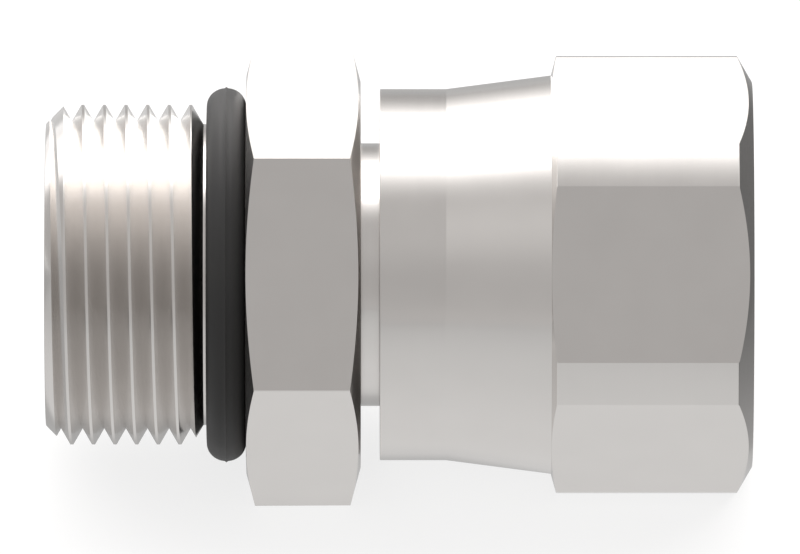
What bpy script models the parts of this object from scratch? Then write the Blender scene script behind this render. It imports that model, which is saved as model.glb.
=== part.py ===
"""Straight hydraulic adapter, size 16: a male O-ring boss stud, a hexagon and a female swivel nut.

Both threads are 1-5/16-12. The body and the nut are turned from the same hexagonal bar, and the nut's
rear collar is closed in behind the body's nose, so that the nut turns but doesn't come off.

Frame: +X runs from the stud's end to the nut's mouth and the origin is half-way along the axis. The
fitting lies on a flat of both hexagons, which faces -Z.
"""

import math

import bmesh
import bpy
from mathutils import Matrix

MM = 0.001
INCH = 25.4 * MM

# Sizes that the pieces share
HEX_ACROSS_FLATS = 39.24 * MM
HEX_CHAMFER = math.radians(15)
BORE_D = 21.4 * MM
PITCH = INCH / 12
FLANK = math.radians(30)
SWIVEL_CLEARANCE = 0.3 * MM
SEAT_GAP = 0.3 * MM

# O-ring, and the undercut that it lies in
O_RING_THICKNESS = 3.24 * MM
O_RING_WIDTH = 3.6 * MM
UNDERCUT_SPARE = 0.32 * MM
UNDERCUT_BELOW_ROOT = 0.29 * MM

# Stud with the external thread
STUD_LENGTH = 19.63 * MM
STUD_THREAD_D = 33.29 * MM
STUD_CREST = 0.265 * MM
STUD_FACE_BELOW_ROOT = 0.25 * MM
STUD_CREST_ANGLE = math.radians(169.4)
BORE_CHAMFER = 0.5 * MM

# Hexagon of the body, measured from its flats inwards
BODY_HEX_LENGTH = 11.19 * MM
BODY_STUD_FACE_INSET = 0.07 * MM
BODY_NECK_FACE_INSET = 0.72 * MM

# Neck and nose, which the nut turns on
NECK_D = 25.74 * MM
NECK_LENGTH = 13.18 * MM
NOSE_LENGTH = 11.2 * MM
NOSE_BELOW_THREAD = 0.32 * MM
NOSE_EDGE = 0.4 * MM
SEAT_LIP = 0.2 * MM
SEAT_ANGLE = math.radians(37)
SHOULDER_ANGLE = math.radians(45)

# Swivel nut outside
NUT_LENGTH = 36.47 * MM
COLLAR_WALL = 5.015 * MM
COLLAR_LENGTH = 6.47 * MM
TAPER_LENGTH = 10.28 * MM
TAPER_BELOW_FLATS = 0.06 * MM
NUT_CORNER_TRIM = 1.235 * MM
NUT_FACE_INSET = 0.78 * MM
NUT_FACE_CHAMFER = math.radians(30)

# Swivel nut inside
COLLAR_BORE_LENGTH = 11.18 * MM
COLLAR_BORE_CHAMFER = 0.4 * MM
NUT_THREAD_D = 33.34 * MM
NUT_THREAD_LENGTH = 16.0 * MM
NUT_THREAD_CREST = PITCH / 4
NUT_THREAD_ROOT = PITCH / 8
RELIEF_WIDTH = 3.0 * MM
RELIEF_BELOW_THREAD = 0.28 * MM
MOUTH_ABOVE_THREAD = 0.33 * MM

# Facets round a full circle, and how far a tool runs past what it cuts
TURN_STEPS = 60
RING_STEPS = 12
TOOL_ALLOWANCE = 0.3 * MM
TOOL_OVERRUN = 2.0 * MM
MERGE = 0.001 * MM


def thread_depth(crest, root):
    """How deep a 60 degree thread is cut between a flat crest and a flat root of these widths."""
    return (PITCH - crest - root) / 2 / math.tan(FLANK)


def cone_length(inner_r, outer_r, angle_from_face):
    """Length along the axis of a cone whose side stands at this angle to the end faces."""
    return abs(outer_r - inner_r) * math.tan(angle_from_face)


# Radii and places that follow from the sizes above
FLAT_R = HEX_ACROSS_FLATS / 2
CORNER_R = HEX_ACROSS_FLATS / math.sqrt(3)
BORE_R = BORE_D / 2
STUD_THREAD_R = STUD_THREAD_D / 2
STUD_ROOT_R = STUD_THREAD_R - thread_depth(STUD_CREST, 0.0)
UNDERCUT_R = STUD_ROOT_R - UNDERCUT_BELOW_ROOT
UNDERCUT_WIDTH = O_RING_WIDTH + SEAT_GAP + UNDERCUT_SPARE
NUT_THREAD_R = NUT_THREAD_D / 2
NUT_MINOR_R = NUT_THREAD_R - thread_depth(NUT_THREAD_CREST, NUT_THREAD_ROOT)
NECK_R = NECK_D / 2
NOSE_R = NUT_MINOR_R - NOSE_BELOW_THREAD
COLLAR_BORE_R = NECK_R + SWIVEL_CLEARANCE
CAVITY_R = NOSE_R + SWIVEL_CLEARANCE

HEX_START = STUD_LENGTH
HEX_END = HEX_START + BODY_HEX_LENGTH
SHOULDER_X = HEX_END + NECK_LENGTH
NOSE_END = SHOULDER_X + NOSE_LENGTH
# The two 45 degree shoulders face each other across the swivel clearance, measured square to them.
NUT_SHOULDER_X = SHOULDER_X + SWIVEL_CLEARANCE - SWIVEL_CLEARANCE / math.sin(SHOULDER_ANGLE)
NUT_REAR = NUT_SHOULDER_X - COLLAR_BORE_LENGTH
OVERALL_LENGTH = NUT_REAR + NUT_LENGTH
O_RING_CENTRE = HEX_START - SEAT_GAP - O_RING_WIDTH / 2


def clear_scene():
    for obj in list(bpy.data.objects):
        bpy.data.objects.remove(obj, do_unlink=True)


def add_piece(name, bm, material=None, x=0.0, parent=None):
    """Makes an object of the mesh, with its own origin on the axis at x along its parent."""
    bmesh.ops.recalc_face_normals(bm, faces=bm.faces)
    mesh = bpy.data.meshes.new(name)
    bm.to_mesh(mesh)
    bm.free()
    mesh.shade_smooth()
    mesh.set_sharp_from_angle(angle=FLANK)
    if material:
        mesh.materials.append(material)
    piece = bpy.data.objects.new(name, mesh)
    piece.location.x = x
    piece.parent = parent
    bpy.context.collection.objects.link(piece)
    return piece


def add_tool(name, bm, x=0.0, parent=None):
    """A cutting tool: it shapes a piece and is no part of the fitting."""
    tool = add_piece(name, bm, x=x, parent=parent)
    tool.hide_render = True
    tool.display_type = "WIRE"
    return tool


def machine(piece, operation, tool):
    cut = piece.modifiers.new(tool.name, "BOOLEAN")
    cut.operation = operation
    cut.solver = "EXACT"
    cut.object = tool


def turned(section):
    """Solid turned about X from a closed section of (x, radius) corners."""
    bm = bmesh.new()
    corners = [bm.verts.new((x, radius, 0)) for x, radius in section]
    sides = [bm.edges.new(pair) for pair in zip(corners, corners[1:] + corners[:1])]
    # Half a facet's turn keeps the facets' edges off the hexagon's corners and the middle of its flats.
    half_facet = Matrix.Rotation(math.pi / TURN_STEPS, 3, "X")
    bmesh.ops.rotate(bm, verts=corners, cent=(0, 0, 0), matrix=half_facet)
    bmesh.ops.spin(
        bm,
        geom=corners + sides,
        cent=(0, 0, 0),
        axis=(1, 0, 0),
        angle=math.tau,
        steps=TURN_STEPS,
        use_merge=True,
    )
    return bm


def hexagon_bar(start, end):
    """Bar stock along X, with two of its flats level and corners at +Y and -Y."""
    bm = bmesh.new()
    bmesh.ops.create_cone(
        bm, segments=6, radius1=CORNER_R, radius2=CORNER_R, depth=end - start, cap_ends=True
    )
    lay_down = Matrix.Rotation(math.pi / 2, 3, "Y")
    bmesh.ops.rotate(bm, verts=bm.verts, cent=(0, 0, 0), matrix=lay_down)
    bmesh.ops.translate(bm, verts=bm.verts, vec=((start + end) / 2, 0, 0))
    return bm


def threaded_rod(major_r, crest, root, crest_angle, start, end):
    """Solid rod with a right-hand thread. The middle of its crest crosses x = 0 at crest_angle round X."""
    minor_r = major_r - thread_depth(crest, root)
    flank = (major_r - minor_r) * math.tan(FLANK)
    widths = (0.0, crest, flank, root, flank)
    radii = (major_r, major_r, minor_r, minor_r, major_r)
    first_x = -crest / 2 - PITCH * crest_angle / math.tau
    turns_before = math.ceil((first_x - start) / PITCH) + 2
    turns = turns_before + math.ceil((end - first_x) / PITCH) + 2
    bm = bmesh.new()
    x = first_x - turns_before * PITCH
    corners = []
    for width, radius in zip(widths, radii):
        x += width
        if width > 0 or not corners:
            corners.append(bm.verts.new((x, radius, 0)))
    sides = [bm.edges.new(pair) for pair in zip(corners, corners[1:])]
    bmesh.ops.spin(
        bm,
        geom=corners + sides,
        cent=(0, 0, 0),
        axis=(1, 0, 0),
        dvec=(PITCH / TURN_STEPS, 0, 0),
        angle=math.tau * turns,
        steps=TURN_STEPS * turns,
    )
    bmesh.ops.remove_doubles(bm, verts=bm.verts, dist=MERGE)
    for x, outwards in ((start, -1), (end, 1)):
        bmesh.ops.bisect_plane(
            bm,
            geom=bm.verts[:] + bm.edges[:] + bm.faces[:],
            dist=MERGE / 10,
            plane_co=(x, 0, 0),
            plane_no=(outwards, 0, 0),
            clear_outer=True,
        )
        rim = [edge for edge in bm.edges if edge.is_boundary and abs(edge.verts[0].co.x - x) < MERGE]
        bmesh.ops.edgeloop_fill(bm, edges=rim)
    return bm


def stud_die(parent):
    """Threading die: a plain ring with the stud's thread taken out of it."""
    start = -TOOL_OVERRUN
    end = STUD_LENGTH - UNDERCUT_WIDTH / 2
    ring_inner_r = UNDERCUT_R - TOOL_OVERRUN / 2
    ring_outer_r = STUD_THREAD_R + TOOL_OVERRUN
    ring = [(start, ring_inner_r), (end, ring_inner_r), (end, ring_outer_r), (start, ring_outer_r)]
    die = add_tool("stud_die", turned(ring), parent=parent)
    rod = threaded_rod(
        STUD_THREAD_R, STUD_CREST, 0.0, STUD_CREST_ANGLE, start - TOOL_OVERRUN, end + TOOL_OVERRUN
    )
    machine(die, "DIFFERENCE", add_tool("stud_thread_form", rod, parent=parent))
    return die


def body_section():
    """Half section of the body, from the stud's end along the outside and back through the bore."""
    blank_r = STUD_THREAD_R + TOOL_ALLOWANCE
    face_r = STUD_ROOT_R - STUD_FACE_BELOW_ROOT
    undercut_x = STUD_LENGTH - UNDERCUT_WIDTH
    run_out_x = undercut_x - cone_length(UNDERCUT_R, blank_r, FLANK)
    stud = [
        (BORE_CHAMFER, BORE_R),
        (0.0, BORE_R + BORE_CHAMFER),
        (0.0, face_r),
        (blank_r - face_r, blank_r),
        (run_out_x, blank_r),
        (undercut_x, UNDERCUT_R),
        (STUD_LENGTH, UNDERCUT_R),
    ]
    clear_r = CORNER_R + TOOL_OVERRUN
    stud_face_r = FLAT_R - BODY_STUD_FACE_INSET
    neck_face_r = FLAT_R - BODY_NECK_FACE_INSET
    hexagon = [
        (HEX_START, stud_face_r),
        (HEX_START + cone_length(stud_face_r, clear_r, HEX_CHAMFER), clear_r),
        (HEX_END - cone_length(neck_face_r, clear_r, HEX_CHAMFER), clear_r),
        (HEX_END, neck_face_r),
    ]
    seat_mouth_r = NOSE_R - NOSE_EDGE - SEAT_LIP
    seat_depth = (seat_mouth_r - BORE_R) / math.tan(SEAT_ANGLE)
    nose = [
        (HEX_END, NECK_R),
        (SHOULDER_X, NECK_R),
        (SHOULDER_X + cone_length(NECK_R, NOSE_R, SHOULDER_ANGLE), NOSE_R),
        (NOSE_END - NOSE_EDGE, NOSE_R),
        (NOSE_END, NOSE_R - NOSE_EDGE),
        (NOSE_END, seat_mouth_r),
        (NOSE_END - seat_depth, BORE_R),
    ]
    return stud + hexagon + nose


def nut_section():
    """Half section of the nut, from its rear face along the outside and back through the inside."""
    collar_r = COLLAR_BORE_R + COLLAR_WALL
    taper_r = FLAT_R - TAPER_BELOW_FLATS
    corner_r = CORNER_R - NUT_CORNER_TRIM
    face_r = FLAT_R - NUT_FACE_INSET
    taper_end = COLLAR_LENGTH + TAPER_LENGTH
    outside = [
        (0.0, collar_r),
        (COLLAR_LENGTH, collar_r),
        (taper_end, taper_r),
        (taper_end + cone_length(taper_r, corner_r, HEX_CHAMFER), corner_r),
        (NUT_LENGTH - cone_length(face_r, corner_r, NUT_FACE_CHAMFER), corner_r),
        (NUT_LENGTH, face_r),
    ]
    mouth_r = NUT_THREAD_R + MOUTH_ABOVE_THREAD
    relief_r = NUT_THREAD_R + RELIEF_BELOW_THREAD
    tap_drill_r = NUT_MINOR_R - TOOL_ALLOWANCE
    relief_end = NUT_LENGTH - NUT_THREAD_LENGTH
    relief_start = relief_end - RELIEF_WIDTH
    inside = [
        (NUT_LENGTH, mouth_r),
        (NUT_LENGTH - (mouth_r - tap_drill_r), tap_drill_r),
        (relief_end, tap_drill_r),
        (relief_end - cone_length(tap_drill_r, relief_r, FLANK), relief_r),
        (relief_start + cone_length(CAVITY_R, relief_r, FLANK), relief_r),
        (relief_start, CAVITY_R),
        (COLLAR_BORE_LENGTH + cone_length(COLLAR_BORE_R, CAVITY_R, SHOULDER_ANGLE), CAVITY_R),
        (COLLAR_BORE_LENGTH, COLLAR_BORE_R),
        (COLLAR_BORE_CHAMFER, COLLAR_BORE_R),
        (0.0, COLLAR_BORE_R + COLLAR_BORE_CHAMFER),
    ]
    return outside + inside


def nut_tap(parent):
    """Tap for the nut's thread: it ends inside the relief groove."""
    start = NUT_LENGTH - NUT_THREAD_LENGTH - RELIEF_WIDTH / 2
    rod = threaded_rod(
        NUT_THREAD_R, NUT_THREAD_ROOT, NUT_THREAD_CREST, 0.0, start, NUT_LENGTH + TOOL_OVERRUN
    )
    return add_tool("nut_tap", rod, parent=parent)


def o_ring_mesh():
    """Moulded ring, a little wider along the axis than it is thick."""
    centre_r = UNDERCUT_R + SEAT_GAP + O_RING_THICKNESS / 2
    bm = bmesh.new()
    section = bmesh.ops.create_circle(bm, segments=RING_STEPS, radius=0.5)["verts"]
    bmesh.ops.scale(bm, verts=section, vec=(O_RING_WIDTH, O_RING_THICKNESS, 1))
    bmesh.ops.translate(bm, verts=section, vec=(0, centre_r, 0))
    half_facet = Matrix.Rotation(math.pi / TURN_STEPS, 3, "X")
    bmesh.ops.rotate(bm, verts=section, cent=(0, 0, 0), matrix=half_facet)
    bmesh.ops.spin(
        bm,
        geom=bm.verts[:] + bm.edges[:],
        cent=(0, 0, 0),
        axis=(1, 0, 0),
        angle=math.tau,
        steps=TURN_STEPS,
        use_merge=True,
    )
    return bm


def plated_steel():
    """Bright zinc-plated steel."""
    material = bpy.data.materials.new("plated_steel")
    material.use_nodes = True
    shader = material.node_tree.nodes["Principled BSDF"]
    shader.inputs["Base Color"].default_value = (0.72, 0.70, 0.68, 1)
    shader.inputs["Metallic"].default_value = 1.0
    shader.inputs["Roughness"].default_value = 0.22
    return material


def black_rubber():
    """Nitrile rubber."""
    material = bpy.data.materials.new("black_rubber")
    material.use_nodes = True
    shader = material.node_tree.nodes["Principled BSDF"]
    shader.inputs["Base Color"].default_value = (0.022, 0.022, 0.022, 1)
    shader.inputs["Roughness"].default_value = 0.45
    return material


def adapter_body(steel):
    body = add_piece("adapter_body", turned(body_section()), steel, x=-OVERALL_LENGTH / 2)
    bar = add_tool(
        "body_bar", hexagon_bar(-TOOL_OVERRUN, NOSE_END + TOOL_OVERRUN), parent=body
    )
    machine(body, "INTERSECT", bar)
    machine(body, "DIFFERENCE", stud_die(body))
    return body


def swivel_nut(steel, body):
    nut = add_piece("swivel_nut", turned(nut_section()), steel, x=NUT_REAR, parent=body)
    bar = add_tool("nut_bar", hexagon_bar(-TOOL_OVERRUN, NUT_LENGTH + TOOL_OVERRUN), parent=nut)
    machine(nut, "INTERSECT", bar)
    machine(nut, "DIFFERENCE", nut_tap(nut))
    return nut


def main():
    clear_scene()
    steel = plated_steel()
    body = adapter_body(steel)
    swivel_nut(steel, body)
    add_piece("o_ring", o_ring_mesh(), black_rubber(), x=O_RING_CENTRE, parent=body)


main()
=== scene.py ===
"""Dressed model of the straight hydraulic adapter: threaded O-ring boss stud, hexagon and swivel nut.

The fitting lies along X on a flat of its hexagons, with the stud towards -X. Lengths are in metres.
"""

import math

import bmesh
import bpy
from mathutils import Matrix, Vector


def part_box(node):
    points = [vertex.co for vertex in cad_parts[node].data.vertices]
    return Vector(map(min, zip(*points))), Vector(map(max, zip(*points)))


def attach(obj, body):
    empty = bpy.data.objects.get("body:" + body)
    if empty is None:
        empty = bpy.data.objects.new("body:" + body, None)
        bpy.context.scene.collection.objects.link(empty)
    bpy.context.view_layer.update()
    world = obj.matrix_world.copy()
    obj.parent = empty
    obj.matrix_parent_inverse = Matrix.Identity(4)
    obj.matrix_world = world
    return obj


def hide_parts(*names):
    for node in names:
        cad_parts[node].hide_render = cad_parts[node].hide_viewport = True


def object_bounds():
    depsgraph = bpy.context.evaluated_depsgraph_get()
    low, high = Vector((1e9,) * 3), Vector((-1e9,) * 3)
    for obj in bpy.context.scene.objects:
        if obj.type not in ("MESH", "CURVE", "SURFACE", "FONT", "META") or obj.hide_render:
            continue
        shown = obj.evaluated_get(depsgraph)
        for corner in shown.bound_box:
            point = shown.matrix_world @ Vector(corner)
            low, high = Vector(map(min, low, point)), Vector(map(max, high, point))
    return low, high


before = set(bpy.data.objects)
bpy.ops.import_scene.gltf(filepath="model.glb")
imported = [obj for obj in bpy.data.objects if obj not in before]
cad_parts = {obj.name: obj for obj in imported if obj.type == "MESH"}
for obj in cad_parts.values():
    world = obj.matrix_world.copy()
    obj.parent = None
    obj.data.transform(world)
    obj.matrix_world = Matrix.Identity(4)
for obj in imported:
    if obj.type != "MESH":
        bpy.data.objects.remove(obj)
cad_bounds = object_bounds()
MM = 0.001

# Camera
# A long lens, so that the picture is nearly a parallel projection. It looks square at one of the flats
# that are turned 30 degrees up from the floor.
CAMERA_ELEVATION = math.radians(30)
LENS = 1100
SENSOR = 36
PICTURE_WIDTH = 78.40 * MM
PICTURE_CENTRE_X = 0.095 * MM
PICTURE_CENTRE_DROP = 0.235 * MM
CLIP_NEAR = 0.1
CLIP_FAR = 10

towards_camera = Vector((0, -math.cos(CAMERA_ELEVATION), math.sin(CAMERA_ELEVATION)))
picture_up = Vector((0, math.sin(CAMERA_ELEVATION), math.cos(CAMERA_ELEVATION)))
looked_at = Vector((PICTURE_CENTRE_X, 0, 0)) - picture_up * PICTURE_CENTRE_DROP
camera_data = bpy.data.cameras.new("camera")
camera_data.lens = LENS
camera_data.sensor_width = SENSOR
camera_data.clip_start = CLIP_NEAR
camera_data.clip_end = CLIP_FAR
camera = bpy.data.objects.new("camera", camera_data)
camera.location = looked_at + towards_camera * (PICTURE_WIDTH * LENS / SENSOR)
camera.rotation_mode = "QUATERNION"
camera.rotation_quaternion = (-towards_camera).to_track_quat("-Z", "Y")
bpy.context.collection.objects.link(camera)
bpy.context.scene.camera = camera
bpy.context.scene.view_settings.view_transform = "Standard"


# Floor
# A matt white table, on which the camera sees a soft, pale shadow. To metal it is a glowing sheet with
# painted brightness, so the metal shows painted reflections: dimmer in front and to the left, with painted
# shade just under and behind the fitting, and darkest past the nut, where the painted glow is dim and no
# card lies. Behind the fitting the table ends for metal, which sees the low part of the room there.
FLOOR_SIZE = 8.0
PAPER_COLOUR = (0.20, 0.20, 0.20, 1)
PAPER_LIFT = 0.80
FLOOR_TINT = (1.01, 1.006, 1.003, 1)
# Each list holds (millimetres along X or Y, brightness). In FLOOR_BEHIND and FLOOR_IN_FRONT it is a share.
FLOOR_ALONG_X = (
    (-400, 0.52),
    (-112, 0.63),
    (-68, 0.76),
    (-42, 0.83),
    (-38, 2.70),
    (35, 2.70),
    (35.5, 0.83),
    (41, 0.39),
    (63, 0.28),
    (100, 0.18),
    (400, 0.16),
)
FLOOR_ALONG_Y = (
    (-400, 0.63),
    (-147, 0.67),
    (-84, 0.71),
    (-45, 0.75),
    (-30, 0.79),
    (-22, 0.82),
    (-11, 0.81),
    (-9, 0.72),
    (-7, 0.57),
    (-2, 0.47),
    (30, 0.45),
    (90, 0.45),
    (400, 0.50),
)
# Where the table ends for metal, short of the dim painted glow past the nut, and a lighter painted strip of
# the glow past the stud's end.
FLOOR_BEHIND = ((-400, 0), (45, 0), (75, 1), (400, 1))
FLOOR_DIM_GLOW_X = 38 * MM
FLOOR_PAST_STUD = ((-400, 0.80), (-37, 0.80), (-35, 0), (400, 0))
FLOOR_IN_FRONT = ((-400, 0), (-150, 0), (-90, 1), (-5, 1), (-2, 0), (400, 0))
# Painted highlights in the thread: for metal the table's glow is painted brighter where light has reflected
# twice, in the flanks, and brighter still after three reflections and more, in the grooves. The last two
# values lie half-way between two counts of reflections.
FLOOR_IN_FLANKS = 0.95
FLOOR_IN_GROOVES = 2.5
SECOND_REFLECTION = 1.5
THIRD_REFLECTION = 2.5


def new_material(name):
    """A material with an empty node tree, and its output node."""
    material = bpy.data.materials.new(name)
    material.use_nodes = True
    material.node_tree.nodes.clear()
    output = material.node_tree.nodes.new("ShaderNodeOutputMaterial")
    return material, output


def worked_out(tree, operation, first, second=0):
    """The output of a Math node on two values, each of them a number or another node's output."""
    node = tree.nodes.new("ShaderNodeMath")
    node.operation = operation
    for socket, value in zip(node.inputs, (first, second)):
        if isinstance(value, (int, float)):
            socket.default_value = value
        else:
            tree.links.new(value, socket)
    return node.outputs[0]


def brightness_along(tree, source, stops, unit=1, tint=(1, 1, 1)):
    """The output of a ramp that gives each (place, grey) stop its tinted grey where source is there."""
    first, last = stops[0][0], stops[-1][0]
    place = tree.nodes.new("ShaderNodeMapRange")
    place.inputs["From Min"].default_value = first * unit
    place.inputs["From Max"].default_value = last * unit
    ramp = tree.nodes.new("ShaderNodeValToRGB")
    elements = ramp.color_ramp.elements
    while len(elements) < len(stops):
        elements.new(0.5)
    for element, (stop, grey) in zip(elements, stops):
        element.position = (stop - first) / (last - first)
        element.color = (grey * tint[0], grey * tint[1], grey * tint[2], 1)
    tree.links.new(source, place.inputs["Value"])
    tree.links.new(place.outputs["Result"], ramp.inputs["Fac"])
    return ramp.outputs["Color"]


floor_mesh = bmesh.new()
bmesh.ops.create_grid(floor_mesh, x_segments=1, y_segments=1, size=FLOOR_SIZE / 2)
bmesh.ops.translate(floor_mesh, verts=floor_mesh.verts, vec=(0, 0, cad_bounds[0].z))
floor = bpy.data.objects.new("floor", bpy.data.meshes.new("floor"))
floor_mesh.to_mesh(floor.data)
floor_mesh.free()
bpy.context.collection.objects.link(floor)

white_table, output = new_material("white_table")
tree = white_table.node_tree
place = tree.nodes.new("ShaderNodeTexCoord")
split = tree.nodes.new("ShaderNodeSeparateXYZ")
ray = tree.nodes.new("ShaderNodeLightPath")
tree.links.new(place.outputs["Object"], split.inputs[0])
along_x = brightness_along(tree, split.outputs["X"], FLOOR_ALONG_X, MM)
along_y = brightness_along(tree, split.outputs["Y"], FLOOR_ALONG_Y, MM)
past_stud = brightness_along(tree, split.outputs["X"], FLOOR_PAST_STUD, MM)
in_front = brightness_along(tree, split.outputs["Y"], FLOOR_IN_FRONT, MM)
behind = brightness_along(tree, split.outputs["Y"], FLOOR_BEHIND, MM)
# The glow that metal sees, with painted brightness: painted reflections, and painted shade under the
# fitting.
near = worked_out(tree, "MAXIMUM", along_y, worked_out(tree, "MULTIPLY", past_stud, in_front))
seen_once = worked_out(tree, "MINIMUM", along_x, near)
twice = worked_out(tree, "GREATER_THAN", ray.outputs["Glossy Depth"], SECOND_REFLECTION)
just_twice = worked_out(tree, "LESS_THAN", ray.outputs["Glossy Depth"], THIRD_REFLECTION)
dimmer = worked_out(tree, "MULTIPLY", just_twice, FLOOR_IN_GROOVES - FLOOR_IN_FLANKS)
in_grooves = worked_out(tree, "SUBTRACT", FLOOR_IN_GROOVES, dimmer)
in_grooves = worked_out(tree, "MULTIPLY", in_grooves, worked_out(tree, "MULTIPLY", twice, behind))
# Past the nut, behind the fitting, the table keeps a dim painted glow for metal; no dark card is there.
before_dim_glow = worked_out(tree, "LESS_THAN", split.outputs["X"], FLOOR_DIM_GLOW_X)
in_metal = tree.nodes.new("ShaderNodeEmission")
in_metal.inputs["Color"].default_value = FLOOR_TINT
past_table = tree.nodes.new("ShaderNodeBsdfTransparent")
paper = tree.nodes.new("ShaderNodeBsdfDiffuse")
paper.inputs["Color"].default_value = PAPER_COLOUR
lift = tree.nodes.new("ShaderNodeEmission")
lift.inputs["Strength"].default_value = PAPER_LIFT
lifted = tree.nodes.new("ShaderNodeAddShader")
table_end = tree.nodes.new("ShaderNodeMixShader")
to_camera = tree.nodes.new("ShaderNodeMixShader")
to_metal = tree.nodes.new("ShaderNodeMixShader")
tree.links.new(worked_out(tree, "MAXIMUM", seen_once, in_grooves), in_metal.inputs["Strength"])
tree.links.new(worked_out(tree, "MULTIPLY", behind, before_dim_glow), table_end.inputs["Fac"])
tree.links.new(in_metal.outputs[0], table_end.inputs[1])
tree.links.new(past_table.outputs[0], table_end.inputs[2])
tree.links.new(paper.outputs[0], lifted.inputs[0])
tree.links.new(lift.outputs[0], lifted.inputs[1])
tree.links.new(ray.outputs["Is Camera Ray"], to_camera.inputs["Fac"])
tree.links.new(paper.outputs[0], to_camera.inputs[1])
tree.links.new(lifted.outputs[0], to_camera.inputs[2])
tree.links.new(ray.outputs["Is Glossy Ray"], to_metal.inputs["Fac"])
tree.links.new(to_camera.outputs[0], to_metal.inputs[1])
tree.links.new(table_end.outputs[0], to_metal.inputs[2])
tree.links.new(to_metal.outputs[0], output.inputs["Surface"])
floor.data.materials.append(white_table)


# Studio light
# A large soft box overhead and to the back, and a warm grey room on the camera's side. Below the horizon
# is what only metal sees, past the table's end.
WHITE = (1, 1, 1, 1)
ROOM_TINT = (1.022, 1.0, 0.986)
# Each list holds (bearing, brightness), with bearings in degrees round X, from the front horizon (0) over
# the top to the back one (180). The first is for light from square to the fitting, the second for light
# from its two sides, and the third for what only metal sees still further out.
ROOM_MIDDLE = (
    (0, 0.61),
    (13, 0.54),
    (24, 0.52),
    (30, 0.52),
    (36, 0.54),
    (50, 0.59),
    (76, 0.59),
    (81, 0.66),
    (86, 0.82),
    (91, 1.10),
    (96, 1.50),
    (104, 3.60),
    (140, 3.60),
    (148, 1.70),
    (153, 1.22),
    (158, 0.92),
    (163, 0.72),
    (168, 0.56),
    (174, 0.48),
    (180, 0.46),
)
ROOM_SIDES = (
    (0, 0.62),
    (10, 0.57),
    (24, 0.55),
    (36, 0.58),
    (49, 0.70),
    (60, 0.76),
    (70, 0.73),
    (76, 0.69),
    (80, 0.71),
    (84, 0.77),
    (88, 0.90),
    (92, 1.15),
    (96, 1.50),
    (104, 3.60),
    (148, 3.60),
    (160, 2.30),
    (168, 1.90),
    (176, 1.40),
    (180, 1.00),
)
ROOM_WIDE = (
    (0, 0.62),
    (10, 0.57),
    (24, 0.55),
    (36, 0.58),
    (49, 0.70),
    (60, 0.76),
    (70, 0.73),
    (76, 0.69),
    (84, 0.77),
    (92, 0.98),
    (104, 1.15),
    (148, 1.18),
    (168, 1.12),
    (180, 0.95),
)
# The first two are for what is reflected twice: from the stud's side, and from the nut's, which the left
# flanks show. The third is for what is reflected three times and more, in grooves.
ROOM_IN_FLANKS = (
    (0, 0.55),
    (60, 0.60),
    (76, 0.70),
    (90, 0.95),
    (104, 1.15),
    (112, 1.35),
    (122, 3.60),
    (180, 3.60),
)
ROOM_IN_LEFT_FLANKS = (
    (0, 0.55),
    (60, 0.60),
    (76, 0.70),
    (90, 0.95),
    (104, 1.10),
    (112, 1.30),
    (122, 2.60),
    (136, 3.40),
    (145, 1.40),
    (154, 0.95),
    (180, 0.85),
)
ROOM_IN_GROOVES = (
    (0, 0.50),
    (24, 0.52),
    (34, 0.58),
    (45, 0.74),
    (53, 0.90),
    (62, 1.10),
    (71, 1.36),
    (80, 1.54),
    (90, 2.00),
    (100, 3.20),
    (104, 3.60),
    (160, 3.60),
    (180, 1.50),
)
# Below the horizon, from the stud's side (-1) to the nut's (1). The second list is for the back horizon
# only, at the bearings of the third. What is reflected three times and more is dimmed where it comes from
# aside, and nothing is dimmer than the least brightness.
UNDER_ALONG_X = (
    (-1, 0.62),
    (-0.59, 0.62),
    (-0.34, 0.70),
    (-0.2, 0.73),
    (-0.07, 0.62),
    (-0.02, 0.46),
    (0.17, 0.46),
    (0.3, 1.40),
    (1, 1.40),
)
UNDER_FAR_LEFT = ((-1, 1.3), (-0.42, 1.3), (-0.36, 0), (1, 0))
UNDER_FAR = ((-180, 1), (-174.5, 1), (-171.5, 0), (0, 0))
UNDER_ASIDE = ((0, 0), (0.15, 0), (0.25, 1), (1, 1))
UNDER_LEAST = 0.50
# The share of each list, by how far from the side the light comes, and how bright it is straight along X.
# At the bearings of STUD_SIDE_LOW, ROOM_WIDE has no share on the stud's side.
SIDES_SHARE = ((0, 0), (0.04, 0), (0.27, 1), (1, 1))
WIDE_SHARE = ((0, 0), (0.30, 0), (0.42, 1), (1, 1))
STUD_SIDE_LOW = ((0, 0), (156, 0), (159, 1), (180, 1))
ROOM_END = 0.51
END_SHARE = ((0, 0), (0.78, 0), (0.85, 0.90), (0.90, 0.955), (0.96, 0.99), (0.99, 1), (1, 1))
NUT_SIDE_SHARE = ((-1, 0), (0, 0), (0.08, 1), (1, 1))

world = bpy.data.worlds.new("studio")
world.use_nodes = True
bpy.context.scene.world = world
tree = world.node_tree
tree.nodes.clear()
direction = tree.nodes.new("ShaderNodeTexCoord")
split = tree.nodes.new("ShaderNodeSeparateXYZ")
ray = tree.nodes.new("ShaderNodeLightPath")
tree.links.new(direction.outputs["Generated"], split.inputs[0])
forwards = worked_out(tree, "MULTIPLY", split.outputs["Y"], -1)
bearing = worked_out(tree, "DEGREES", worked_out(tree, "ARCTAN2", split.outputs["Z"], forwards))
sideways = worked_out(tree, "ABSOLUTE", split.outputs["X"])
depth = ray.outputs["Glossy Depth"]
twice = worked_out(tree, "GREATER_THAN", depth, SECOND_REFLECTION)
thrice = worked_out(tree, "GREATER_THAN", depth, THIRD_REFLECTION)
to_the_nut = brightness_along(tree, split.outputs["X"], NUT_SIDE_SHARE)


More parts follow.
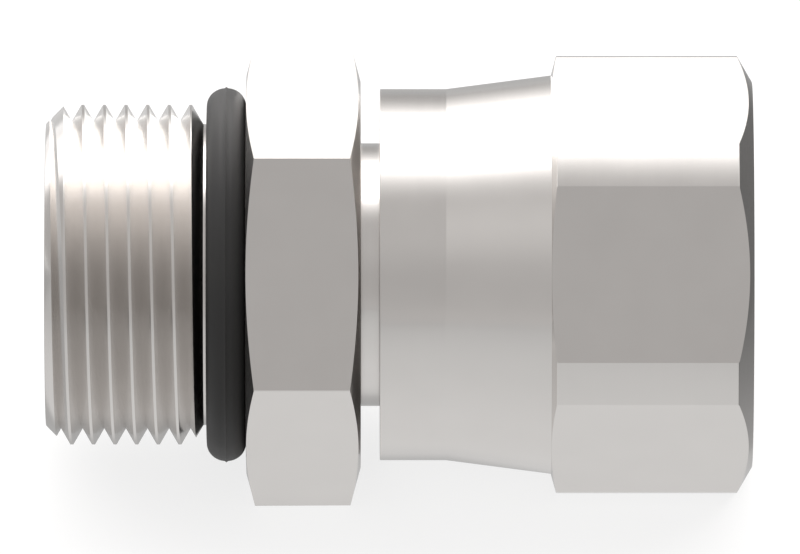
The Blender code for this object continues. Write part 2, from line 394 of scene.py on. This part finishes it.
def blended(tree, share, first, second):
    """The output of a Mix node that goes from one colour to the other as share goes from 0 to 1."""
    mix = tree.nodes.new("ShaderNodeMix")
    mix.data_type = "RGBA"
    mix.clamp_result = False
    tree.links.new(share, mix.inputs["Factor"])
    for socket, colour in (("A", first), ("B", second)):
        if isinstance(colour, tuple):
            mix.inputs[socket].default_value = colour
        else:
            tree.links.new(colour, mix.inputs[socket])
    return mix.outputs["Result"]


def round_x(stops):
    """The room's tinted grey round X."""
    return brightness_along(tree, bearing, stops, tint=ROOM_TINT)


end_colour = (*(ROOM_END * channel for channel in ROOM_TINT), 1)
sides_share = brightness_along(tree, sideways, SIDES_SHARE)
end_share = brightness_along(tree, sideways, END_SHARE)
in_metal = ray.outputs["Is Glossy Ray"]
to_the_stud = worked_out(tree, "LESS_THAN", split.outputs["X"], 0)
low_past_stud = worked_out(tree, "MULTIPLY", to_the_stud, brightness_along(tree, bearing, STUD_SIDE_LOW))
elsewhere = worked_out(tree, "SUBTRACT", in_metal, worked_out(tree, "MULTIPLY", in_metal, low_past_stud))
wide_share = worked_out(tree, "MULTIPLY", brightness_along(tree, sideways, WIDE_SHARE), elsewhere)
room = blended(tree, sides_share, round_x(ROOM_MIDDLE), round_x(ROOM_SIDES))
room = blended(tree, wide_share, room, round_x(ROOM_WIDE))
room = blended(tree, end_share, room, end_colour)
in_flanks = worked_out(tree, "MULTIPLY", twice, sides_share)
in_left_flanks = worked_out(tree, "MULTIPLY", twice, to_the_nut)
room = blended(tree, in_flanks, room, round_x(ROOM_IN_FLANKS))
room = blended(tree, in_left_flanks, room, round_x(ROOM_IN_LEFT_FLANKS))
room = blended(tree, thrice, room, round_x(ROOM_IN_GROOVES))
under = brightness_along(tree, split.outputs["X"], UNDER_ALONG_X)
far_left = brightness_along(tree, split.outputs["X"], UNDER_FAR_LEFT)
far_left = worked_out(tree, "MULTIPLY", far_left, brightness_along(tree, bearing, UNDER_FAR))
just_twice = worked_out(tree, "LESS_THAN", depth, THIRD_REFLECTION)
rightwards = worked_out(tree, "GREATER_THAN", split.outputs["X"], 0)
dimmer = worked_out(tree, "MULTIPLY", just_twice, rightwards)
dimmer = worked_out(tree, "MULTIPLY", dimmer, FLOOR_IN_GROOVES - FLOOR_IN_FLANKS)
in_grooves = worked_out(tree, "MULTIPLY", twice, worked_out(tree, "SUBTRACT", FLOOR_IN_GROOVES, dimmer))
under = worked_out(tree, "MAXIMUM", worked_out(tree, "MAXIMUM", under, far_left), in_grooves)
deep_aside = worked_out(tree, "MULTIPLY", thrice, brightness_along(tree, sideways, UNDER_ASIDE))
under = worked_out(tree, "MULTIPLY", under, worked_out(tree, "SUBTRACT", 1, deep_aside))
under = worked_out(tree, "MAXIMUM", under, UNDER_LEAST)
studio = tree.nodes.new("ShaderNodeBackground")
low = tree.nodes.new("ShaderNodeBackground")
low.inputs["Color"].default_value = FLOOR_TINT
horizon = tree.nodes.new("ShaderNodeMixShader")
white = tree.nodes.new("ShaderNodeBackground")
white.inputs["Color"].default_value = WHITE
backdrop = tree.nodes.new("ShaderNodeMixShader")
output = tree.nodes.new("ShaderNodeOutputWorld")
tree.links.new(room, studio.inputs["Color"])
tree.links.new(under, low.inputs["Strength"])
tree.links.new(worked_out(tree, "LESS_THAN", split.outputs["Z"], 0), horizon.inputs["Fac"])
tree.links.new(studio.outputs[0], horizon.inputs[1])
tree.links.new(low.outputs[0], horizon.inputs[2])
tree.links.new(ray.outputs["Is Camera Ray"], backdrop.inputs["Fac"])
tree.links.new(horizon.outputs[0], backdrop.inputs[1])
tree.links.new(white.outputs[0], backdrop.inputs[2])
tree.links.new(backdrop.outputs[0], output.inputs["Surface"])


# Plated steel
# Bright zinc plating over machined steel, a little clouded. Turned faces keep faint rings from the
# tool, threads are a little rougher, and the flats keep the faint straight lines of the drawn bar.
STEEL_COLOUR = (0.72, 0.70, 0.682)
TONE_SPREAD = 0.015
STEEL_ROUGHNESS = 0.15
THREAD_ROUGHNESS = 0.195
FACED_ROUGHNESS = 0.38
FACED_FROM = 0.975
FACED_FULLY = 0.995
ROUGHNESS_SPREAD = 0.15
CLOUD_ROUGHNESS = (-0.01, 0.02)
CLOUDS_PER_M = 220
RINGS_PER_M = 2600
THREAD_RINGS_PER_M = 4160
RING_DEPTH = 0.0006 * MM
THREAD_RING_DEPTH = 0.0003 * MM
RINGS_ON_FACES = 1.3
LINES_PER_M = 2400
LINE_STRETCH = 0.03
LINE_DEPTH = 0.0004 * MM
NOISE_RANGE = (0.25, 0.75)


def shader_group(name, inputs, outputs):
    """An empty node group with float or vector inputs and float outputs, and its two end nodes."""
    group = bpy.data.node_groups.new(name, "ShaderNodeTree")
    for socket, value in inputs:
        kind = "NodeSocketFloat" if isinstance(value, (int, float)) else "NodeSocketVector"
        made = group.interface.new_socket(name=socket, in_out="INPUT", socket_type=kind)
        made.default_value = value
    for socket in outputs:
        group.interface.new_socket(name=socket, in_out="OUTPUT", socket_type="NodeSocketFloat")
    return group, group.nodes.new("NodeGroupInput"), group.nodes.new("NodeGroupOutput")


def noise(tree, detail, roughness, dimensions="3D"):
    """A Noise Texture node, whose own roughness is how much its finer detail shows."""
    node = tree.nodes.new("ShaderNodeTexNoise")
    node.noise_dimensions = dimensions
    node.inputs["Detail"].default_value = detail
    node.inputs["Roughness"].default_value = roughness
    return node


turning_rings, given, result = shader_group(
    "turning_rings", [("Place", (0, 0, 0)), ("Rings per metre", 1000.0)], ["Height"]
)
split = turning_rings.nodes.new("ShaderNodeSeparateXYZ")
across = turning_rings.nodes.new("ShaderNodeCombineXYZ")
from_axis = turning_rings.nodes.new("ShaderNodeVectorMath")
from_axis.operation = "LENGTH"
feed = turning_rings.nodes.new("ShaderNodeMath")
feed.operation = "MULTIPLY_ADD"
feed.inputs[1].default_value = RINGS_ON_FACES
rings = noise(turning_rings, detail=2.5, roughness=0.6, dimensions="1D")
turning_rings.links.new(given.outputs["Place"], split.inputs[0])
turning_rings.links.new(split.outputs["Y"], across.inputs["Y"])
turning_rings.links.new(split.outputs["Z"], across.inputs["Z"])
turning_rings.links.new(across.outputs[0], from_axis.inputs[0])
turning_rings.links.new(from_axis.outputs["Value"], feed.inputs[0])
turning_rings.links.new(split.outputs["X"], feed.inputs[2])
turning_rings.links.new(feed.outputs[0], rings.inputs["W"])
turning_rings.links.new(given.outputs["Rings per metre"], rings.inputs["Scale"])
turning_rings.links.new(rings.outputs["Fac"], result.inputs["Height"])

drawn_lines, given, result = shader_group(
    "drawn_lines", [("Place", (0, 0, 0)), ("Lines per metre", 1000.0)], ["Height"]
)
stretch = drawn_lines.nodes.new("ShaderNodeMapping")
stretch.inputs["Scale"].default_value = (LINE_STRETCH, 1, 1)
lines = noise(drawn_lines, detail=3, roughness=0.65)
drawn_lines.links.new(given.outputs["Place"], stretch.inputs["Vector"])
drawn_lines.links.new(stretch.outputs[0], lines.inputs["Vector"])
drawn_lines.links.new(given.outputs["Lines per metre"], lines.inputs["Scale"])
drawn_lines.links.new(lines.outputs["Fac"], result.inputs["Height"])

cloudiness, given, result = shader_group(
    "cloudiness", [("Place", (0, 0, 0)), ("Clouds per metre", 200.0)], ["Cloud"]
)
clouds = noise(cloudiness, detail=4, roughness=0.55)
cloudiness.links.new(given.outputs["Place"], clouds.inputs["Vector"])
cloudiness.links.new(given.outputs["Clouds per metre"], clouds.inputs["Scale"])
cloudiness.links.new(clouds.outputs["Fac"], result.inputs["Cloud"])


def spread(tree, source, low, high):
    """The output of a node that spreads the middle of a noise over low to high."""
    shift = tree.nodes.new("ShaderNodeMapRange")
    shift.inputs["From Min"].default_value = NOISE_RANGE[0]
    shift.inputs["From Max"].default_value = NOISE_RANGE[1]
    shift.inputs["To Min"].default_value = low
    shift.inputs["To Max"].default_value = high
    tree.links.new(source, shift.inputs["Value"])
    return shift.outputs["Result"]


def plated_steel(name, marks, marks_per_m, roughness, mark_depth):
    """Zinc plated steel with one of the two kinds of machining marks. Faces square to the axis, where
    the tool cuts slower and slower towards the middle, are rougher."""
    material, output = new_material(name)
    tree = material.node_tree
    place = tree.nodes.new("ShaderNodeTexCoord")
    marked = tree.nodes.new("ShaderNodeGroup")
    marked.node_tree = marks
    marked.inputs[1].default_value = marks_per_m
    clouded = tree.nodes.new("ShaderNodeGroup")
    clouded.node_tree = cloudiness
    clouded.inputs["Clouds per metre"].default_value = CLOUDS_PER_M
    faced = tree.nodes.new("ShaderNodeMapRange")
    faced.inputs["From Min"].default_value = FACED_FROM
    faced.inputs["From Max"].default_value = FACED_FULLY
    faced.inputs["To Max"].default_value = FACED_ROUGHNESS
    slope = tree.nodes.new("ShaderNodeSeparateXYZ")
    relief = tree.nodes.new("ShaderNodeBump")
    relief.inputs["Distance"].default_value = mark_depth
    shader = tree.nodes.new("ShaderNodeBsdfPrincipled")
    shader.inputs["Metallic"].default_value = 1
    tree.links.new(place.outputs["Object"], marked.inputs["Place"])
    tree.links.new(place.outputs["Object"], clouded.inputs["Place"])
    duller = (*(channel * (1 - TONE_SPREAD) for channel in STEEL_COLOUR), 1)
    brighter = (*(channel * (1 + TONE_SPREAD) for channel in STEEL_COLOUR), 1)
    tone = blended(tree, spread(tree, clouded.outputs["Cloud"], 0, 1), duller, brighter)
    least, most = roughness * (1 - ROUGHNESS_SPREAD), roughness * (1 + ROUGHNESS_SPREAD)
    by_marks = spread(tree, marked.outputs["Height"], least, most)
    by_clouds = spread(tree, clouded.outputs["Cloud"], *CLOUD_ROUGHNESS)
    rough = worked_out(tree, "ADD", by_marks, by_clouds)
    tree.links.new(place.outputs["Normal"], slope.inputs[0])
    tree.links.new(worked_out(tree, "ABSOLUTE", slope.outputs["X"]), faced.inputs["Value"])
    rough = worked_out(tree, "MAXIMUM", rough, faced.outputs["Result"])
    tree.links.new(tone, shader.inputs["Base Color"])
    tree.links.new(rough, shader.inputs["Roughness"])
    tree.links.new(marked.outputs["Height"], relief.inputs["Height"])
    tree.links.new(relief.outputs["Normal"], shader.inputs["Normal"])
    tree.links.new(shader.outputs[0], output.inputs["Surface"])
    return material


steel_finishes = (
    plated_steel("turned_steel", turning_rings, RINGS_PER_M, STEEL_ROUGHNESS, RING_DEPTH),
    plated_steel("drawn_steel", drawn_lines, LINES_PER_M, STEEL_ROUGHNESS, LINE_DEPTH),
    plated_steel("thread_steel", turning_rings, THREAD_RINGS_PER_M, THREAD_ROUGHNESS, THREAD_RING_DEPTH),
)
# A turned face has the first of them, and the other faces have these.
DRAWN = 1
THREAD_CUT = 2


# Adapter body
# One piece turned from hexagonal bar: the threaded stud with an undercut for the O-ring, the spanner
# hexagon, the neck, the nose with its 37 degree seat, and the bore. Edges are broken, not sharp.
TURN_STEPS = 240
EDGE_BREAK = 0.08 * MM
EDGE_STEPS = 3
SMOOTH_UNDER = math.radians(32)
PITCH = 25.4 * MM / 12
FLANK = math.radians(30)
STUD_THREAD_R = 16.645 * MM
STUD_CREST = 0.265 * MM
STUD_ROOT_R = 15.04 * MM
STUD_FACE_R = 14.79 * MM
STUD_CREST_ANGLE = math.radians(169.4)
STUD_LENGTH = 19.63 * MM
UNDERCUT_R = 14.75 * MM
UNDERCUT_WIDTH = 4.22 * MM
BORE_R = 10.7 * MM
BORE_CHAMFER = 0.5 * MM
HEX_LENGTH = 11.19 * MM
HEX_CHAMFER = math.tan(math.radians(15))
STUD_SIDE_FACE_R = 19.52 * MM
NECK_SIDE_FACE_R = 18.9 * MM
HEX_EDGE_BREAK = 0.11 * MM
NECK_R = 12.87 * MM
NECK_LENGTH = 13.18 * MM
NOSE_R = 15.2 * MM
NOSE_EDGE = 0.4 * MM
SEAT_MOUTH_R = 14.6 * MM
SEAT_SLOPE = math.tan(math.radians(37))
TOOL_OVERRUN = 2.0 * MM
TOOL_ALLOWANCE = 0.3 * MM
SPARE_TURNS = 2
SEAM_GAP = 0.002 * MM
NEARLY_NOTHING = 0.00001 * MM
RIM_REACH = 0.001 * MM
FLATS_WEIGHT = 100

body_low, body_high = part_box("adapter_body")
flat_r = body_high.z
corner_r = flat_r / math.cos(math.pi / 6)
stud_end = body_low.x
hex_start = stud_end + STUD_LENGTH
hex_end = hex_start + HEX_LENGTH
nose_end = body_high.x
undercut_x = hex_start - UNDERCUT_WIDTH


def turned(section, crisp=()):
    """Turns a closed section of (x, radius) corners about X. Every corner is slightly rounded, apart from
    the crisp ones."""
    bm = bmesh.new()
    corners = [bm.verts.new((x, radius, 0)) for x, radius in section]
    bm.faces.new(corners)
    bmesh.ops.bevel(
        bm,
        geom=[corner for corner, place in zip(corners, section) if place not in crisp],
        affect="VERTICES",
        offset=EDGE_BREAK,
        offset_type="OFFSET",
        segments=EDGE_STEPS,
        profile=0.5,
        material=-1,
    )
    bmesh.ops.delete(bm, geom=bm.faces[:], context="FACES_ONLY")
    bmesh.ops.spin(
        bm,
        geom=bm.verts[:] + bm.edges[:],
        cent=(0, 0, 0),
        axis=(1, 0, 0),
        angle=math.tau,
        steps=TURN_STEPS,
        use_merge=True,
    )
    bmesh.ops.recalc_face_normals(bm, faces=bm.faces)
    return bm


def mill_flats(bm, half_width):
    """Leaves the six flats of the bar that the piece is turned from, two of them level."""
    for side in range(6):
        angle = math.pi / 6 + side * math.pi / 3
        square = Vector((0, math.cos(angle), math.sin(angle)))
        bmesh.ops.bisect_plane(
            bm,
            geom=bm.verts[:] + bm.edges[:] + bm.faces[:],
            dist=NEARLY_NOTHING,
            plane_co=square * half_width,
            plane_no=square,
            clear_outer=True,
        )
        rim = [edge for edge in bm.edges if edge.is_boundary]
        bmesh.ops.edgeloop_fill(bm, edges=rim, mat_nr=DRAWN)
    bmesh.ops.recalc_face_normals(bm, faces=bm.faces)


def threaded_rod(major_r, minor_r, crest, root, crest_angle, start, end):
    """Solid rod with a right-hand thread. The middle of its crest crosses x = start at crest_angle."""
    flank = (PITCH - crest - root) / 2
    first_x = start - PITCH * (crest_angle / math.tau + SPARE_TURNS)
    turns = math.ceil((end - start) / PITCH) + 2 * SPARE_TURNS
    points = [(0, major_r), (crest / 2, major_r), (crest / 2 + flank, minor_r)]
    if root:
        points.append((crest / 2 + flank + root, minor_r))
    points += [(PITCH - crest / 2, major_r), (PITCH, major_r)]
    bm = bmesh.new()
    corners = [bm.verts.new((first_x + x, radius, 0)) for x, radius in points]
    sides = [bm.edges.new(pair) for pair in zip(corners, corners[1:])]
    bmesh.ops.spin(
        bm,
        geom=corners + sides,
        cent=(0, 0, 0),
        axis=(1, 0, 0),
        dvec=(PITCH / TURN_STEPS, 0, 0),
        angle=math.tau,
        steps=TURN_STEPS,
    )
    one_turn = bm.verts[:] + bm.edges[:] + bm.faces[:]
    for turn in range(1, turns):
        next_turn = bmesh.ops.duplicate(bm, geom=one_turn)["geom"]
        moved = [part for part in next_turn if isinstance(part, bmesh.types.BMVert)]
        bmesh.ops.translate(bm, verts=moved, vec=(PITCH * turn, 0, 0))
    bmesh.ops.remove_doubles(bm, verts=bm.verts, dist=SEAM_GAP)
    for x, outwards in ((start, -1), (end, 1)):
        bmesh.ops.bisect_plane(
            bm,
            geom=bm.verts[:] + bm.edges[:] + bm.faces[:],
            dist=NEARLY_NOTHING,
            plane_co=(x, 0, 0),
            plane_no=(outwards, 0, 0),
            clear_outer=True,
        )
        rim = [edge for edge in bm.edges if edge.is_boundary and abs(edge.verts[0].co.x - x) < RIM_REACH]
        bmesh.ops.edgeloop_fill(bm, edges=rim)
    bmesh.ops.recalc_face_normals(bm, faces=bm.faces)
    for face in bm.faces:
        face.material_index = THREAD_CUT
    return bm


def object_of(name, bm, finishes):
    """Puts the mesh in an object at the origin, with its materials, and lets go of it."""
    mesh = bpy.data.meshes.new(name)
    for finish in finishes:
        mesh.materials.append(finish)
    bm.to_mesh(mesh)
    bm.free()
    made = bpy.data.objects.new(name, mesh)
    bpy.context.collection.objects.link(made)
    return made


def machine(piece, tool):
    """Cuts the tool's shape out of the piece for good, and takes the tool away."""
    cut = piece.modifiers.new("cut", "BOOLEAN")
    cut.operation = "DIFFERENCE"
    cut.solver = "EXACT"
    cut.object = tool
    bpy.context.view_layer.update()
    blank = piece.data
    machined = piece.evaluated_get(bpy.context.evaluated_depsgraph_get())
    piece.data = bpy.data.meshes.new_from_object(machined)
    piece.data.name = piece.name
    piece.modifiers.remove(cut)
    bpy.data.objects.remove(tool)
    bpy.data.meshes.remove(blank)


def shade_steel(piece):
    """Shades the piece smoothly within each kind of face. Large faces keep their own slope, and turned
    ones slope straight away from the axis or towards it."""
    bm = bmesh.new()
    bm.from_mesh(piece.data)
    for face in bm.faces:
        face.smooth = True
    for edge in bm.edges:
        finishes = {face.material_index for face in edge.link_faces}
        edge.smooth = len(finishes) == 1 and edge.calc_face_angle(0) < SMOOTH_UNDER
    bm.to_mesh(piece.data)
    bm.free()
    weighted = piece.modifiers.new("weighted", "WEIGHTED_NORMAL")
    weighted.weight = FLATS_WEIGHT
    weighted.thresh = 0
    weighted.keep_sharp = True
    bpy.context.view_layer.update()
    evaluated = piece.evaluated_get(bpy.context.evaluated_depsgraph_get())
    shaded = bpy.data.meshes.new_from_object(evaluated)
    piece.modifiers.remove(weighted)
    normals = []
    for face in shaded.polygons:
        for corner in face.loop_indices:
            normal = shaded.corner_normals[corner].vector.copy()
            if face.material_index != DRAWN:
                place = shaded.vertices[shaded.loops[corner].vertex_index].co
                outwards = Vector((0, place.y, place.z)).normalized()
                lean = math.copysign(math.hypot(normal.y, normal.z), normal.dot(outwards))
                normal = Vector((normal.x, outwards.y * lean, outwards.z * lean))
            normals.append(normal)
    piece.data.normals_split_custom_set(normals)
    bpy.data.meshes.remove(shaded)


blank_r = STUD_THREAD_R + TOOL_ALLOWANCE
clear_r = corner_r + TOOL_OVERRUN
nose_shoulder = hex_end + NECK_LENGTH
body_section = [
    (stud_end + BORE_CHAMFER, BORE_R),
    (stud_end, BORE_R + BORE_CHAMFER),
    (stud_end, STUD_FACE_R),
    (stud_end + blank_r - STUD_FACE_R, blank_r),
    (undercut_x - (blank_r - UNDERCUT_R) * math.tan(FLANK), blank_r),
    (undercut_x, UNDERCUT_R),
    (hex_start, UNDERCUT_R),
    (hex_start, STUD_SIDE_FACE_R),
    (hex_start + (clear_r - STUD_SIDE_FACE_R) * HEX_CHAMFER, clear_r),
    (hex_end - (clear_r - NECK_SIDE_FACE_R) * HEX_CHAMFER, clear_r),
    (hex_end, NECK_SIDE_FACE_R),
    (hex_end, NECK_R),
    (nose_shoulder, NECK_R),
    (nose_shoulder + NOSE_R - NECK_R, NOSE_R),
    (nose_end - NOSE_EDGE, NOSE_R),
    (nose_end, NOSE_R - NOSE_EDGE),
    (nose_end, SEAT_MOUTH_R),
    (nose_end - (SEAT_MOUTH_R - BORE_R) / SEAT_SLOPE, BORE_R),
]
body_mesh = turned(body_section)
mill_flats(body_mesh, flat_r)
bar_edges = [
    edge for edge in body_mesh.edges
    if all(face.material_index == DRAWN for face in edge.link_faces)
]
bmesh.ops.bevel(
    body_mesh,
    geom=bar_edges,
    affect="EDGES",
    offset=HEX_EDGE_BREAK,
    offset_type="OFFSET",
    segments=EDGE_STEPS,
    profile=0.5,
    material=-1,
)
adapter_body = object_of("body_of_plated_steel", body_mesh, steel_finishes)

die_start = stud_end - TOOL_OVERRUN
die_end = hex_start - UNDERCUT_WIDTH / 2
die_inner_r = UNDERCUT_R - TOOL_OVERRUN / 2
die_outer_r = STUD_THREAD_R + TOOL_OVERRUN
die_section = [
    (die_start, die_inner_r),
    (die_end, die_inner_r),
    (die_end, die_outer_r),
    (die_start, die_outer_r),
]
stud_die = object_of("stud_die", turned(die_section), steel_finishes)
thread_form = threaded_rod(
    STUD_THREAD_R,
    STUD_ROOT_R,
    STUD_CREST,
    0,
    STUD_CREST_ANGLE + math.tau * (1 - 2 * TOOL_OVERRUN / PITCH),
    die_start - TOOL_OVERRUN,
    die_end + TOOL_OVERRUN,
)
machine(stud_die, object_of("thread_form", thread_form, steel_finishes))
machine(adapter_body, stud_die)
shade_steel(adapter_body)
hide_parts("adapter_body")
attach(adapter_body, "body")


# O-ring
# A moulded nitrile ring in the undercut, against the hexagon, with the thin flash line of its mould
# round the outside.
RING_SECTION_STEPS = 48
RING_OUTER_R = 18.29 * MM
RING_WIDTH = 3.84 * MM
RING_SEAT_GAP = 0.04 * MM
FLASH_HEIGHT = 0.11 * MM
FLASH_WIDTH = 0.36 * MM
RUBBER_DARK = (0.026, 0.026, 0.027, 1)
RUBBER_BLOOM = (0.034, 0.034, 0.033, 1)
RUBBER_ROUGHNESS = (0.46, 0.55)
RUBBER_SHINE = 0.36
BLOOM_PER_M = 160
SKIN_PER_M = 5200
SKIN_DEPTH = 0.004 * MM

ring_inner_r = UNDERCUT_R + RING_SEAT_GAP
ring_thickness = RING_OUTER_R - ring_inner_r
ring_mesh = bmesh.new()
section = bmesh.ops.create_circle(ring_mesh, segments=RING_SECTION_STEPS, radius=0.5)["verts"]
top = max(section, key=lambda vert: vert.co.y)
bmesh.ops.scale(ring_mesh, verts=section, vec=(RING_WIDTH, ring_thickness, 1))
flash_foot = [vert for vert in section if vert in [edge.other_vert(top) for edge in top.link_edges]]
for vert in flash_foot:
    vert.co.x = math.copysign(FLASH_WIDTH / 2, vert.co.x)
bmesh.ops.translate(ring_mesh, verts=[top], vec=(0, FLASH_HEIGHT, 0))
ring_place = (hex_start - RING_SEAT_GAP - RING_WIDTH / 2, ring_inner_r + ring_thickness / 2, 0)
bmesh.ops.translate(ring_mesh, verts=section, vec=ring_place)
bmesh.ops.spin(
    ring_mesh,
    geom=ring_mesh.verts[:] + ring_mesh.edges[:],
    cent=(0, 0, 0),
    axis=(1, 0, 0),
    angle=math.tau,
    steps=TURN_STEPS,
    use_merge=True,
)
bmesh.ops.recalc_face_normals(ring_mesh, faces=ring_mesh.faces)
rubber, output = new_material("black_rubber")
tree = rubber.node_tree
place = tree.nodes.new("ShaderNodeTexCoord")
bloomed = tree.nodes.new("ShaderNodeGroup")
bloomed.node_tree = cloudiness
bloomed.inputs["Clouds per metre"].default_value = BLOOM_PER_M
skin = tree.nodes.new("ShaderNodeGroup")
skin.node_tree = cloudiness
skin.inputs["Clouds per metre"].default_value = SKIN_PER_M
relief = tree.nodes.new("ShaderNodeBump")
relief.inputs["Distance"].default_value = SKIN_DEPTH
shader = tree.nodes.new("ShaderNodeBsdfPrincipled")
shader.inputs["Specular IOR Level"].default_value = RUBBER_SHINE
tree.links.new(place.outputs["Object"], bloomed.inputs["Place"])
tree.links.new(place.outputs["Object"], skin.inputs["Place"])
bloom = spread(tree, bloomed.outputs["Cloud"], 0, 1)
rubber_colour = blended(tree, bloom, RUBBER_DARK, RUBBER_BLOOM)
rubber_roughness = spread(tree, bloomed.outputs["Cloud"], *RUBBER_ROUGHNESS)
tree.links.new(rubber_colour, shader.inputs["Base Color"])
tree.links.new(rubber_roughness, shader.inputs["Roughness"])
tree.links.new(skin.outputs["Cloud"], relief.inputs["Height"])
tree.links.new(relief.outputs["Normal"], shader.inputs["Normal"])
tree.links.new(shader.outputs[0], output.inputs["Surface"])
o_ring = object_of("ring_of_black_rubber", ring_mesh, [rubber])
o_ring.data.shade_smooth()
o_ring.data.set_sharp_from_angle(angle=SMOOTH_UNDER)
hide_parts("o_ring")
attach(o_ring, "body")


# Swivel nut
# One piece turned from the same bar. Its plain rear collar is closed in behind the nose's shoulder,
# so that it turns freely, and its mouth is tapped for the mating cone fitting.
COLLAR_R = 18.185 * MM
COLLAR_LENGTH = 6.47 * MM
TAPER_LENGTH = 10.28 * MM
TAPER_END_R = 19.52 * MM
NUT_CORNER_R = 21.42 * MM
NUT_FACE_R = 18.84 * MM
NUT_FACE_CHAMFER = math.tan(math.radians(30))
COLLAR_BORE_R = 13.17 * MM
COLLAR_BORE_LENGTH = 11.18 * MM
COLLAR_BORE_CHAMFER = 0.4 * MM
CAVITY_R = 15.5 * MM
NUT_THREAD_R = 16.67 * MM
NUT_MINOR_R = 15.523 * MM
NUT_CREST = PITCH / 8
NUT_ROOT = PITCH / 4
NUT_THREAD_LENGTH = 16.0 * MM
RELIEF_R = 16.95 * MM
RELIEF_WIDTH = 3.0 * MM
MOUTH_R = 17.0 * MM

nut_low, nut_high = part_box("swivel_nut")
nut_rear = nut_low.x
nut_front = nut_high.x
taper_end = nut_rear + COLLAR_LENGTH + TAPER_LENGTH
drill_r = NUT_MINOR_R - TOOL_ALLOWANCE
relief_end = nut_front - NUT_THREAD_LENGTH
relief_start = relief_end - RELIEF_WIDTH
shoulder_x = nut_rear + COLLAR_BORE_LENGTH
nut_section = [
    (nut_rear, COLLAR_R),
    (nut_rear + COLLAR_LENGTH, COLLAR_R),
    (taper_end, TAPER_END_R),
    (taper_end + (NUT_CORNER_R - TAPER_END_R) * HEX_CHAMFER, NUT_CORNER_R),
    (nut_front - (NUT_CORNER_R - NUT_FACE_R) * NUT_FACE_CHAMFER, NUT_CORNER_R),
    (nut_front, NUT_FACE_R),
    (nut_front, MOUTH_R),
    (nut_front - (MOUTH_R - drill_r), drill_r),
    (relief_end, drill_r),
    (relief_end - (RELIEF_R - drill_r) * math.tan(FLANK), RELIEF_R),
    (relief_start + (RELIEF_R - CAVITY_R) * math.tan(FLANK), RELIEF_R),
    (relief_start, CAVITY_R),
    (shoulder_x + CAVITY_R - COLLAR_BORE_R, CAVITY_R),
    (shoulder_x, COLLAR_BORE_R),
    (nut_rear + COLLAR_BORE_CHAMFER, COLLAR_BORE_R),
    (nut_rear, COLLAR_BORE_R + COLLAR_BORE_CHAMFER),
]
nut_mesh = turned(nut_section, crisp=[(taper_end, TAPER_END_R)])
mill_flats(nut_mesh, flat_r)
swivel_nut = object_of("nut_of_plated_steel", nut_mesh, steel_finishes)
tap = threaded_rod(
    NUT_THREAD_R,
    NUT_MINOR_R,
    NUT_CREST,
    NUT_ROOT,
    0,
    relief_end - RELIEF_WIDTH / 2,
    nut_front + TOOL_OVERRUN,
)
machine(swivel_nut, object_of("tap", tap, steel_finishes))
shade_steel(swivel_nut)
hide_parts("swivel_nut")
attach(swivel_nut, "nut")
